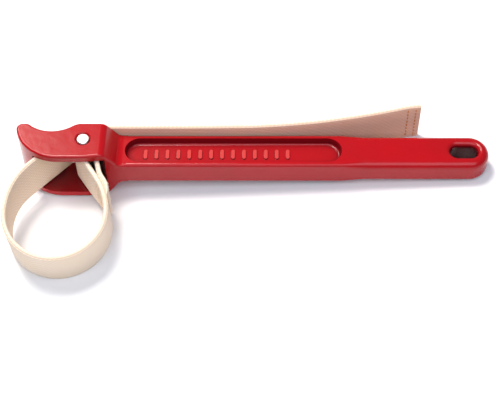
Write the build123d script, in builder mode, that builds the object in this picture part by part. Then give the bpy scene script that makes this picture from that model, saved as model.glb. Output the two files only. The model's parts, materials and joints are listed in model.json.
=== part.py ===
from build123d import *
import os
from math import acos, asin, atan2, cos, degrees, hypot, radians, sin, tan

# Strap oil filter wrench, millimetres. The origin is the centre of the strap's filter loop,
# at the middle of the strap's width. +Z runs along the pin and the filter, and +X along the
# handle, so the wrench lies flat on one cheek of its head.

os.makedirs("parts", exist_ok=True)

# ---- driving dimensions ---------------------------------------------------------------------
# Webbing strap
strap_width = 30.0
strap_thickness = 3.1
loop_radius = 30.0  # inside of the filter loop
leg_angle = 48.0  # slope of the leg that runs up into the head
shank_clearance = 0.7  # sewn shank to the filter, more than its stitches stand proud
seam_margin = 4.5  # from where the two layers of the shank meet to where the loop begins
seam_bend = 14.0  # inside radius where the folded layer turns along the shank
overlap_turn = 16.0  # how far the folded layer follows the loop past the shank, degrees
tail_straight = 95.0  # from the pin, lying along the handle
tail_lift_radius = 400.0  # the long bend away from the handle
tail_lift_turn = 15.5
tail_tip_radius = 60.0  # the short bend back at the tip
tail_tip_turn = 12.5
exit_gap = 1.0  # between the strap's wrap and the bending stretch at the exit
exit_length = 16.0  # stretch that bends where the tail leaves the head

# Place of the pin
pin_x = 14.5  # from the centre of the loop
pin_rise = 17.0  # behind the back of the filter

# Pin
pin_radius = 4.0
pin_end_chamfer = 0.5
pin_hole_mouth = 1.3  # chamfer round the pin's hole
eye_clearance = 0.08  # between pin and strap eye

# Head
cheek_thickness = 5.0
side_clearance = 0.7  # each edge of the strap to its cheek
head_front = 14.8  # from the pin to the front edge
nose_reach = 43.4  # from the pin to the tip of the nose
head_reach = 13.0  # from the pin to where the cheek slopes down
drop_reach = 22.0  # from the pin to where the slope meets the handle
head_edge = 1.5  # rounding of the cheeks' outer edges
drop_round = 5.0  # rounding at the top and the foot of the slope
saddle_radius = 22.0  # hollow in the back edge, over the strap's slot
saddle_x = -20.5
saddle_depth = 6.1
horn_round = 3.9
crest_round = 10.0
slot_clearance = 0.6  # strap leg to the wall of the nose
heel_clearance = 0.9  # strap eye to the wall of the heel
swing = 8.0  # travel of the loop about the pin, degrees

# Handle
handle_reach = 257.7  # from the pin to the end
handle_width = 25.0
handle_thickness = 17.2
handle_back = 12.9  # from the pin to the back edge
shoulder_reach = 27.0  # from the pin to where the head's width ends
flange_edge = 2.0  # rounding of the channelled stretch
grip_edge = 4.6  # rounding of the solid grip
grip_start = 178.0
channel_start = 25.5
channel_end = 164.0
flange_width = 2.9
web_thickness = 7.4
channel_draft = 12.0
channel_floor_round = 1.6
rest_clearance = 0.3  # between the handle's back and the tail

# Plain raised bars on the web
bar_count = 14
bar_pitch = 7.0
bar_length = 7.6
bar_width = 2.6
bar_height = 0.7
bar_middle = 84.0  # from the pin to the middle of the row

# Hanging slot
hang_length = 17.4
hang_width = 9.6
hang_round = 3.4
hang_inset = 15.8  # from the end of the handle to the slot's middle

# Stitching
stitch_length = 2.3
stitch_width = 0.9
stitch_height = 0.45
stitch_pitch = 3.3
stitch_margin = 2.6  # from the strap's edge to the first stitch
stitch_seat = 0.01  # under a flat stitch on a curved face
seam_rows = (28.4, 32.2)  # rows across the shank, from the pin
tip_rows = (3.2, 8.4)  # rows across the tail, from its tip

# ---- worked out -----------------------------------------------------------------------------
pin_y = loop_radius + pin_rise
strap_middle = strap_thickness / 2
head_gap = strap_width + 2 * side_clearance
head_height = head_gap + 2 * cheek_thickness
nose_radius = head_front + handle_back
handle_front = handle_width - handle_back
handle_middle = (handle_back - handle_front) / 2
end_radius = handle_width / 2
end_centre_x = handle_reach - end_radius
wrap_radius = handle_back + rest_clearance
eye_inner = pin_radius + eye_clearance
eye_middle = eye_inner + strap_middle
eye_outer = eye_inner + strap_thickness
saddle_y = handle_back - saddle_depth + saddle_radius
beyond = head_height  # long enough to cut through anything
stitch_count = int((strap_width - 2 * stitch_margin) // stitch_pitch) + 1


def at_angle(angle, length=1.0):
    """Vector of that length at an angle from +X, in degrees."""
    return Vector(length * cos(radians(angle)), length * sin(radians(angle)))


def pin_plane(height=0.0):
    """Level plane with its origin on the pin's axis."""
    return Plane(origin=(pin_x, pin_y, height))


def handle_section(reach):
    """Upright plane across the handle, that far from the pin, local x to the back."""
    middle = pin_y + handle_middle
    return Plane(origin=(pin_x + reach, middle, 0), x_dir=(0, 1, 0), z_dir=(1, 0, 0))


def on_shank(reach):
    """Point on the filter's side of the shank, that far from the pin, and its normal."""
    past = reach - shank_straight
    normal = at_angle(shank_angle + 90 - degrees(max(past, 0) / shank_flank))
    return shank_centre + normal * shank_flank + shank_line * min(past, 0), normal


def stitch_plane(point, normal):
    """Plane on a face of the strap, local x across the strap."""
    seat = point + normal * stitch_seat
    return Plane(origin=(seat.X, seat.Y, 0), x_dir=(0, 0, 1), z_dir=(normal.X, normal.Y, 0))


pin = Vector(pin_x, pin_y)
leg_normal = at_angle(leg_angle + 90)

# The sewn shank runs down from the eye and just clears the filter.
shank_turn = acos((loop_radius + shank_clearance + eye_outer) / pin.length)
shank_normal = at_angle(degrees(atan2(pin_y, pin_x) - shank_turn))
shank_angle = degrees(atan2(shank_normal.Y, shank_normal.X)) - 90
shank_line = at_angle(shank_angle)

# The flanks of the loop turn from straight up, level with its centre, to the slopes of the
# leg and the shank, so their radii follow from where those two lines run.
leg_offset = wrap_radius - leg_normal.dot(Vector(-loop_radius, 0) - pin)
leg_flank = leg_offset / (1 + leg_normal.X)
shank_offset = -eye_outer - shank_normal.dot(Vector(loop_radius, 0) - pin)
shank_flank = shank_offset / (1 - shank_normal.X)
leg_centre = Vector(leg_flank - loop_radius, 0)
shank_centre = Vector(loop_radius - shank_flank, 0)
shank_straight = shank_line.dot(shank_centre - pin)  # from the pin to where the flank begins

# The folded layer leaves the far side of the eye and closes on the main layer.
seam_length = shank_straight - seam_margin
fold_line = 1.5 * strap_thickness - eye_outer
seam_point = pin + shank_line * seam_length + shank_normal * fold_line
closing = asin(eye_middle / hypot(seam_length, fold_line)) - atan2(fold_line, seam_length)
fold_angle = shank_angle - degrees(closing)
fold_leaves = pin + at_angle(fold_angle + 90, eye_middle)

# The wall of the nose runs beside the leg, and the wall of the heel beside the folded layer at
# the end of the loop's swing.
nose_wall = pin + leg_normal * (wrap_radius + strap_thickness + slot_clearance)
nose_wall_front = nose_wall - at_angle(leg_angle, beyond)
nose_wall_back = nose_wall + at_angle(leg_angle, head_front)
heel_angle = fold_angle + swing
heel_reach = eye_outer + heel_clearance
heel_corner = pin + Vector(heel_reach, heel_reach * tan(radians(heel_angle + 90) / 2))
cavity_corners = [
    nose_wall_front, nose_wall_back, Vector(heel_corner.X, nose_wall_back.Y),
    heel_corner, heel_corner + at_angle(heel_angle, beyond)]

# ---- handle casting -------------------------------------------------------------------------
with BuildPart() as channel_cutter:
    with BuildSketch(pin_plane(handle_thickness / 2)):
        with Locations(((channel_start + channel_end) / 2, handle_middle)):
            SlotOverall(channel_end - channel_start, handle_width - 2 * flange_width)
    extrude(amount=-(handle_thickness - web_thickness) / 2, taper=channel_draft)
    fillet(channel_cutter.faces().sort_by(Axis.Z)[0].edges(), channel_floor_round)
    with BuildSketch(pin_plane(web_thickness / 2)):
        with Locations((bar_middle, handle_middle)):
            with GridLocations(bar_pitch, 0, bar_count, 1):
                SlotOverall(bar_length, bar_width, rotation=90)
    extrude(amount=bar_height, taper=15, mode=Mode.SUBTRACT)
    mirror(about=Plane.XY)

with BuildPart() as hang_plate:
    with BuildSketch(pin_plane(-handle_thickness / 2)):
        with Locations((handle_reach - hang_inset, handle_middle)):
            Rectangle(hang_length + 3 * hang_round, hang_width + 3 * hang_round)
            SlotOverall(hang_length, hang_width, mode=Mode.SUBTRACT)
    extrude(amount=handle_thickness)
    hang_faces = hang_plate.faces().filter_by(Axis.Z)
    fillet([edge for face in hang_faces for edge in face.inner_wires()[0].edges()], hang_round)

with BuildPart() as hang_cutter:
    with BuildSketch(pin_plane(-handle_thickness / 2)):
        with Locations((handle_reach - hang_inset, handle_middle)):
            Rectangle(hang_length + 3 * hang_round, hang_width + 3 * hang_round)
    extrude(amount=handle_thickness)
    add(hang_plate.part, mode=Mode.SUBTRACT)

with BuildPart() as handle_casting:
    # Head and shoulder, in plan
    with BuildSketch(pin_plane(-head_height / 2)):
        with BuildLine():
            back_edge = Line((shoulder_reach, handle_back), (-nose_reach, handle_back))
            nose_edge = CenterArc((nose_radius - nose_reach, handle_back), nose_radius, 180, 90)
            front_edge = Line(nose_edge @ 1, (0, -head_front))
            shoulder = Line(front_edge @ 1, (shoulder_reach, -handle_front))
            Line(shoulder @ 1, back_edge @ 0)
        make_face()
        with Locations((saddle_x, saddle_y)):
            Circle(saddle_radius, mode=Mode.SUBTRACT)
        horns = vertices().sort_by(Axis.X)
        fillet(horns[:2], horn_round)
        crest = vertices().group_by(Axis.Y)[-1].sort_by(Axis.X)[-2]
        fillet(crest, crest_round)
    extrude(amount=head_height)
    # The cheeks slope down to the handle's thickness
    with BuildSketch(Plane(origin=(pin_x, 0, 0), x_dir=(1, 0, 0), z_dir=(0, -1, 0))):
        with BuildLine():
            half_head, half_handle = head_height / 2, handle_thickness / 2
            slope = FilletPolyline(
                (-beyond * 2, half_head), (head_reach, half_head), (drop_reach, half_handle),
                (shoulder_reach + 1, half_handle), radius=drop_round)
            Polyline(slope @ 1, (shoulder_reach + 1, 0), (-beyond * 2, 0), slope @ 0)
        make_face()
        mirror(about=Plane.XZ)
    extrude(amount=beyond * 2, both=True, mode=Mode.INTERSECT)
    rims = handle_casting.edges().filter_by(Axis.Z, reverse=True).filter_by(Axis.Y, reverse=True)
    fillet(rims.filter_by(lambda edge: abs(edge.center().Z) > half_handle - 0.01), head_edge)
    # Channelled stretch, then the solid grip with its round end
    with BuildSketch(handle_section(head_reach)):
        RectangleRounded(handle_width, handle_thickness, flange_edge)
    extrude(amount=channel_end - head_reach)
    with BuildSketch(handle_section(channel_end)):
        RectangleRounded(handle_width, handle_thickness, flange_edge)
    with BuildSketch(handle_section(grip_start)):
        RectangleRounded(handle_width, handle_thickness, grip_edge)
    loft()
    with BuildSketch(handle_section(grip_start)):
        RectangleRounded(handle_width, handle_thickness, grip_edge)
    extrude(amount=end_centre_x - grip_start)
    with BuildSketch(handle_section(end_centre_x)):
        RectangleRounded(handle_width, handle_thickness, grip_edge)
        front_half = (Align.MAX, Align.CENTER)
        Rectangle(handle_width, handle_thickness, align=front_half, mode=Mode.INTERSECT)
    end_axis = Axis((pin_x + end_centre_x, pin_y + handle_middle, 0), (0, 0, 1))
    revolve(axis=end_axis, revolution_arc=180)
    # Cavity between the cheeks, from the wall of the nose to the wall of the heel
    with BuildSketch(Plane.XY.offset(-head_gap / 2)):
        with BuildLine():
            Polyline(*cavity_corners, close=True)
        make_face()
    extrude(amount=head_gap, mode=Mode.SUBTRACT)
    with Locations(pin_plane(head_height / 2)):
        Hole(pin_radius)
    add(channel_cutter.part, mode=Mode.SUBTRACT)
    add(hang_cutter.part, mode=Mode.SUBTRACT)
    mouths = handle_casting.edges().filter_by(GeomType.CIRCLE).filter_by(
        lambda edge: abs(edge.radius - pin_radius) < 0.01)
    chamfer(mouths.group_by(Axis.Z)[0] + mouths.group_by(Axis.Z)[-1], pin_hole_mouth)
handle_casting.part.label = "handle_casting"
export_step(handle_casting.part, "parts/handle_casting.step")

# ---- pin ------------------------------------------------------------------------------------
with BuildPart() as strap_pin:
    with BuildSketch(pin_plane(-head_height / 2)):
        Circle(pin_radius)
    extrude(amount=head_height)
    chamfer(strap_pin.edges().filter_by(GeomType.CIRCLE), pin_end_chamfer)
strap_pin.part.label = "strap_pin"
export_step(strap_pin.part, "parts/strap_pin.step")

# ---- strap ----------------------------------------------------------------------------------
strap_edge = Plane.XY.offset(-strap_width / 2)

with BuildPart() as strap_eye:
    with BuildSketch(strap_edge):
        with BuildLine():
            flank = CenterArc(shank_centre, shank_flank + strap_middle, 0, shank_angle + 90)
            Line(flank @ 1, pin - shank_normal * eye_middle)
            CenterArc(pin, eye_middle, shank_angle - 90, fold_angle - shank_angle - 180)
        trace(line_width=strap_thickness)
        with BuildLine():
            fold_end = flank @ 1 + shank_normal * strap_thickness
            FilletPolyline(fold_leaves, seam_point, fold_end, radius=seam_bend + strap_middle)
            CenterArc(shank_centre, shank_flank + strap_middle + strap_thickness,
                      shank_angle + 90, -overlap_turn)
        trace(line_width=strap_thickness)
    extrude(amount=strap_width)
strap_eye.part.label = "strap_eye"
export_step(strap_eye.part, "parts/strap_eye.step")

with BuildPart() as strap_loop:
    with BuildSketch(strap_edge):
        with BuildLine():
            CenterArc((0, 0), loop_radius + strap_middle, 180, 180)
        trace(line_width=strap_thickness)
    extrude(amount=strap_width)
strap_loop.part.label = "strap_loop"
export_step(strap_loop.part, "parts/strap_loop.step")

with BuildPart() as strap_leg:
    with BuildSketch(strap_edge):
        with BuildLine():
            flank = CenterArc(leg_centre, leg_flank + strap_middle, 180, leg_angle - 90)
            Line(flank @ 1, pin + leg_normal * (wrap_radius + strap_middle))
            CenterArc(pin, wrap_radius + strap_middle, leg_angle + 90, -leg_angle)
        trace(line_width=strap_thickness)
    extrude(amount=strap_width)
strap_leg.part.label = "strap_leg"
export_step(strap_leg.part, "parts/strap_leg.step")

exit_start = pin + Vector(exit_gap, wrap_radius + strap_middle)
exit_end = exit_start + Vector(exit_length, 0)
with BuildPart() as strap_exit:
    with BuildSketch(strap_edge):
        with BuildLine():
            Line(exit_start, exit_end)
        trace(line_width=strap_thickness)
    extrude(amount=strap_width)
strap_exit.part.label = "strap_exit"
export_step(strap_exit.part, "parts/strap_exit.step")

lift_start = pin + Vector(tail_straight, wrap_radius + strap_middle)
with BuildPart() as strap_tail:
    with BuildSketch(strap_edge):
        with BuildLine():
            Line(exit_end, lift_start)
            lift = JernArc(lift_start, (1, 0), tail_lift_radius, tail_lift_turn)
            tip = JernArc(lift @ 1, lift % 1, tail_tip_radius, -tail_tip_turn)
        trace(line_width=strap_thickness)
    extrude(amount=strap_width)
strap_tail.part.label = "strap_tail"
export_step(strap_tail.part, "parts/strap_tail.step")

# ---- stitching ------------------------------------------------------------------------------
with BuildPart() as seam_stitching:
    for row in seam_rows:
        across, normal = on_shank(row)
        near_face = stitch_plane(across, -normal)
        far_face = stitch_plane(across + normal * 2 * strap_thickness, normal)
        for face_plane in (near_face, far_face):
            with BuildSketch(face_plane):
                with GridLocations(stitch_pitch, 0, stitch_count, 1):
                    SlotOverall(stitch_length, stitch_width)
            extrude(amount=stitch_height)
seam_stitching.part.label = "seam_stitching"
export_step(seam_stitching.part, "parts/seam_stitching.step")

with BuildPart() as tip_stitching:
    for row in tip_rows:
        across = tip @ (1 - row / tip.length)
        normal = (tip % (1 - row / tip.length)).rotate(Axis.Z, 90)
        for side in (1, -1):
            with BuildSketch(stitch_plane(across + normal * strap_middle * side, normal * side)):
                with GridLocations(stitch_pitch, 0, stitch_count, 1):
                    SlotOverall(stitch_length, stitch_width)
            extrude(amount=stitch_height)
tip_stitching.part.label = "tip_stitching"
export_step(tip_stitching.part, "parts/tip_stitching.step")
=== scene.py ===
"""Strap oil filter wrench: its looks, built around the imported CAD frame.

A cast handle in red stoving enamel, a turned steel pin, and one length of woven webbing that is
sewn round the pin, loops round the filter, threads back through the head and trails along the
handle. Sizes are in metres in the row frame: the centre of the filter loop is the origin, +X runs
along the handle and +Z along the pin.
"""

import json
import logging
import math
from dataclasses import dataclass, field
from enum import Enum
from typing import Any, Iterable

import bmesh
import bpy
import numpy as np
from mathutils import Matrix, Vector

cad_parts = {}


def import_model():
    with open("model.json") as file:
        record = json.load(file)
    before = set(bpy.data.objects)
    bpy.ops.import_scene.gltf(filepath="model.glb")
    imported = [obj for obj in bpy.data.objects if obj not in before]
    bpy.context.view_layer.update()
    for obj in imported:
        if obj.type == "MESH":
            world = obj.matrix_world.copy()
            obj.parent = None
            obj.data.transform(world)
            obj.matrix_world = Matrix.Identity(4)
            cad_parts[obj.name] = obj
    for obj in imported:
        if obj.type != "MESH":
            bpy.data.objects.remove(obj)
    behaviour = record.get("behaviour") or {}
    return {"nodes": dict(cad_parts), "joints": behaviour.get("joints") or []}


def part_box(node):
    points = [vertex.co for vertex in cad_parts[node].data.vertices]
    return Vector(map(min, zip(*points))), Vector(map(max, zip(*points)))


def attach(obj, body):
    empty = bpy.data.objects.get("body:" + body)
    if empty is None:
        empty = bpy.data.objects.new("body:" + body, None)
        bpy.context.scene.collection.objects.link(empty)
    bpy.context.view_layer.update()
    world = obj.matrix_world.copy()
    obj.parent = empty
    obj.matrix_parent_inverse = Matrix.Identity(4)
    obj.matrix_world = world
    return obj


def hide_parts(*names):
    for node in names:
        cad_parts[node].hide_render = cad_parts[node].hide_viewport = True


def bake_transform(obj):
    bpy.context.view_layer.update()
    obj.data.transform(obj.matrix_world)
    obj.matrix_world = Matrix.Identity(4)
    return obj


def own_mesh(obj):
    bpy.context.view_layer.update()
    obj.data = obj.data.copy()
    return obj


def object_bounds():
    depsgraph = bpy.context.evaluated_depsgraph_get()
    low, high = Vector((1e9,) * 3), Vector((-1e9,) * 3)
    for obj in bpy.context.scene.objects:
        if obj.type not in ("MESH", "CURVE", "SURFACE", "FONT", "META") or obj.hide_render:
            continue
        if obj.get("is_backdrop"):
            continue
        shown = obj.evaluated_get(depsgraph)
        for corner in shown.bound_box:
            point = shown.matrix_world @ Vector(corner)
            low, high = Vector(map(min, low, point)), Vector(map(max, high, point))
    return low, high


MM = 0.001
WEAVE = "weave"  # the webbing's own map, in metres
RED_BOUNCE = "red_bounce"  # the webbing's attribute that is one on the face that gets the handle's painted red reflection
WAVE_PERIOD = 0.314  # metres from band to band of a wave texture of scale one
SHARP_ANGLE = math.radians(50)  # edges sharper than this stay crisp
log = logging.getLogger("wrench")


# ---- nodes and colours ----------------------------------------------------------------------
def linear(code: str) -> tuple[float, float, float, float]:
    """Turns an sRGB hex colour to linear.

    Args:
        code: six hex digits after a hash.

    Returns:
        Red, green, blue and an alpha of one.
    """
    shares = [int(code[i : i + 2], 16) / 255 for i in (1, 3, 5)]
    red, green, blue = (
        c / 12.92 if c <= 0.04045 else ((c + 0.055) / 1.055) ** 2.4 for c in shares
    )
    return red, green, blue, 1.0


def add_node(
    tree: bpy.types.NodeTree,
    kind: str,
    values: dict[Any, Any] | None = None,
    links: dict[Any, bpy.types.NodeSocket] | None = None,
    **settings: Any,
) -> bpy.types.Node:
    """Adds a node with its settings and links.

    Args:
        tree: the tree that gets the node.
        kind: the node's type.
        values: constants, by input name or number.
        links: sockets that feed inputs, by input name or number.
        **settings: properties of the node itself.

    Returns:
        The new node.
    """
    node = tree.nodes.new(kind)
    for name, value in settings.items():
        setattr(node, name, value)
    for key, value in (values or {}).items():
        node.inputs[key].default_value = value
    for key, source in (links or {}).items():
        tree.links.new(source, node.inputs[key])
    return node


# ---- finishes -------------------------------------------------------------------------------
@dataclass(frozen=True)
class Finish:
    """What a surface is made of, and how its nodes are made."""

    name: str

    def make(self) -> bpy.types.Material:
        """Makes the material.

        Returns:
            A material whose shader is dressed by the finish.
        """
        material = bpy.data.materials.new(self.name)
        material.use_nodes = True
        tree = material.node_tree
        tree.nodes.clear()
        shader = add_node(tree, "ShaderNodeBsdfPrincipled")
        add_node(tree, "ShaderNodeOutputMaterial", links={"Surface": shader.outputs[0]})
        self.dress(tree, shader)
        return material

    def dress(self, tree: bpy.types.NodeTree, shader: bpy.types.Node) -> None:
        """Adds the finish's own nodes.

        Args:
            tree: the material's tree.
            shader: its Principled shader.
        """
        raise NotImplementedError


@dataclass(frozen=True)
class StovingEnamel(Finish):
    """Sprayed and baked gloss enamel on a sand casting.

    The paint flows out to a wet-looking gloss over a skin that is still a little lumpy from the
    sand, so reflections are soft-edged and wander slightly. Corners and the inside of the head
    get painted shade, and the tops of the raised bars a paler painted highlight.
    """

    name: str = "red_stoving_enamel"
    colour: str = "#ae0a15"
    thin: str = "#990812"
    # painted shade, for corners and the inside of the head
    crevice_shade: str = "#2c040c"
    # painted highlight on the tops of the raised bars: its colour and how much of it
    wear_and_highlight: str = "#cc4a45"
    bar_highlight_share: float = 0.65
    roughness: float = 0.2
    peel: float = 1.4 * MM  # orange peel of the sprayed coat
    sand: float = 7 * MM  # lumps that the sand leaves
    blotch: float = 30 * MM  # patches where the coat is thinner
    corner: float = 3 * MM  # how near a wall has to be to get painted shade beside it
    pocket: float = 60 * MM  # how near walls have to be to shade each other
    # middle of the tops of the row of raised bars, and how far the row reaches from there
    marks: tuple[float, float, float] = (98.5 * MM, 47.4 * MM, 4.35 * MM)
    marks_reach: tuple[float, float, float] = (54 * MM, 4.2 * MM, 0.3 * MM)

    def bar_highlight(
        self, tree: bpy.types.NodeTree, place: bpy.types.NodeSocket
    ) -> bpy.types.NodeSocket:
        """Finds the tops of the raised bars, which get a painted highlight.

        Args:
            tree: the material's tree.
            place: Object coordinates.

        Returns:
            The share of painted highlight on the bars' tops, on both faces of the handle, and none
            elsewhere.
        """
        steps = (
            ("ABSOLUTE", {}),
            ("SUBTRACT", {1: self.marks}),
            ("ABSOLUTE", {}),
            ("DIVIDE", {1: self.marks_reach}),
        )
        reach = place
        for operation, values in steps:
            reach = add_node(
                tree, "ShaderNodeVectorMath", values, {0: reach}, operation=operation
            ).outputs[0]
        along, *others = add_node(tree, "ShaderNodeSeparateXYZ", links={0: reach}).outputs
        most = along
        for other in others:
            most = add_node(
                tree, "ShaderNodeMath", links={0: most, 1: other}, operation="MAXIMUM"
            ).outputs[0]
        return add_node(
            tree,
            "ShaderNodeMapRange",
            {"From Min": 1.0, "From Max": 0.9, "To Min": 0.0, "To Max": self.bar_highlight_share},
            {"Value": most},
        ).outputs[0]

    def dress(self, tree: bpy.types.NodeTree, shader: bpy.types.Node) -> None:
        """Adds the enamel's colour, gloss and skin. See Finish.dress."""
        place = add_node(tree, "ShaderNodeTexCoord").outputs["Object"]
        blotch = add_node(
            tree, "ShaderNodeTexNoise", {"Scale": 1 / self.blotch, "Detail": 3.0}, {"Vector": place}
        )
        tone = add_node(
            tree,
            "ShaderNodeMix",
            {"A": linear(self.colour), "B": linear(self.thin)},
            {"Factor": blotch.outputs["Fac"]},
            data_type="RGBA",
        )
        # painted shade: ambient occlusion darkens the enamel in corners and deep inside the head
        hollow = add_node(
            tree, "ShaderNodeAmbientOcclusion", {"Distance": self.corner}, samples=6
        )
        corner = add_node(
            tree,
            "ShaderNodeMapRange",
            {"From Min": 0.35, "From Max": 0.85, "To Min": 0.55, "To Max": 0.0},
            {"Value": hollow.outputs["AO"]},
        )
        pocket = add_node(
            tree,
            "ShaderNodeAmbientOcclusion",
            {"Distance": self.pocket},
            samples=8,
            only_local=True,
        )
        deep = add_node(
            tree,
            "ShaderNodeMapRange",
            {"From Min": 0.42, "From Max": 0.8, "To Min": 0.9, "To Max": 0.0},
            {"Value": pocket.outputs["AO"]},
        )
        # the stronger of the two painted shades
        edge = add_node(
            tree,
            "ShaderNodeMath",
            links={0: corner.outputs[0], 1: deep.outputs[0]},
            operation="MAXIMUM",
        )
        # mixes in the painted shade
        colour = add_node(
            tree,
            "ShaderNodeMix",
            {"B": linear(self.crevice_shade)},
            {"Factor": edge.outputs[0], "A": tone.outputs["Result"]},
            data_type="RGBA",
        )
        # painted highlight on the tops of the raised bars
        colour = add_node(
            tree,
            "ShaderNodeMix",
            {"B": linear(self.wear_and_highlight)},
            {"Factor": self.bar_highlight(tree, place), "A": colour.outputs["Result"]},
            data_type="RGBA",
        )
        gloss = add_node(
            tree,
            "ShaderNodeMapRange",
            {"To Min": self.roughness - 0.04, "To Max": self.roughness + 0.1},
            {"Value": blotch.outputs["Fac"]},
        )
        sand = add_node(
            tree, "ShaderNodeTexNoise", {"Scale": 1 / self.sand, "Detail": 2.0}, {"Vector": place}
        )
        peel = add_node(
            tree, "ShaderNodeTexNoise", {"Scale": 1 / self.peel, "Detail": 1.0}, {"Vector": place}
        )
        lumps = add_node(
            tree,
            "ShaderNodeBump",
            {"Strength": 0.35, "Distance": 0.35 * MM},
            {"Height": sand.outputs["Fac"]},
        )
        skin = add_node(
            tree,
            "ShaderNodeBump",
            {"Strength": 0.12, "Distance": 0.12 * MM},
            {"Height": peel.outputs["Fac"], "Normal": lumps.outputs[0]},
        )
        tree.links.new(colour.outputs["Result"], shader.inputs["Base Color"])
        tree.links.new(gloss.outputs[0], shader.inputs["Roughness"])
        tree.links.new(skin.outputs[0], shader.inputs["Normal"])
        shader.inputs["IOR"].default_value = 1.42
        shader.inputs["Specular IOR Level"].default_value = 0.34
        shader.inputs["Coat Weight"].default_value = 0.16
        shader.inputs["Coat Roughness"].default_value = 0.06


@dataclass(frozen=True)
class TurnedSteel(Finish):
    """Bright mild steel, faced on a lathe, so its ends show fine rings round the pin's axis."""

    name: str = "turned_steel"
    colour: str = "#dedad6"
    centre: tuple[float, float] = (0.0, 0.0)
    ring: float = 0.5 * MM  # the real rings are 0.1 mm apart, too fine to show
    handling: float = 2 * MM  # patches that handling has dulled

    def dress(self, tree: bpy.types.NodeTree, shader: bpy.types.Node) -> None:
        """Adds the rings and a slightly uneven polish. See Finish.dress."""
        place = add_node(tree, "ShaderNodeTexCoord").outputs["Object"]
        middle = add_node(
            tree,
            "ShaderNodeMapping",
            {"Location": (-self.centre[0], -self.centre[1], 0.0)},
            {"Vector": place},
        )
        rings = add_node(
            tree,
            "ShaderNodeTexWave",
            {"Scale": WAVE_PERIOD / self.ring, "Distortion": 0.4, "Detail": 1.0},
            {"Vector": middle.outputs[0]},
            wave_type="RINGS",
            rings_direction="Z",
        )
        wear_and_highlight = add_node(
            tree, "ShaderNodeTexNoise", {"Scale": 1 / self.handling}, {"Vector": place}
        )
        polish = add_node(
            tree,
            "ShaderNodeMapRange",
            {"To Min": 0.22, "To Max": 0.42},
            {"Value": wear_and_highlight.outputs["Fac"]},
        )
        cut = add_node(
            tree,
            "ShaderNodeBump",
            {"Strength": 0.25, "Distance": 0.02 * MM},
            {"Height": rings.outputs["Fac"]},
        )
        shader.inputs["Base Color"].default_value = linear(self.colour)
        shader.inputs["Metallic"].default_value = 1.0
        tree.links.new(polish.outputs[0], shader.inputs["Roughness"])
        tree.links.new(cut.outputs[0], shader.inputs["Normal"])


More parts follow.
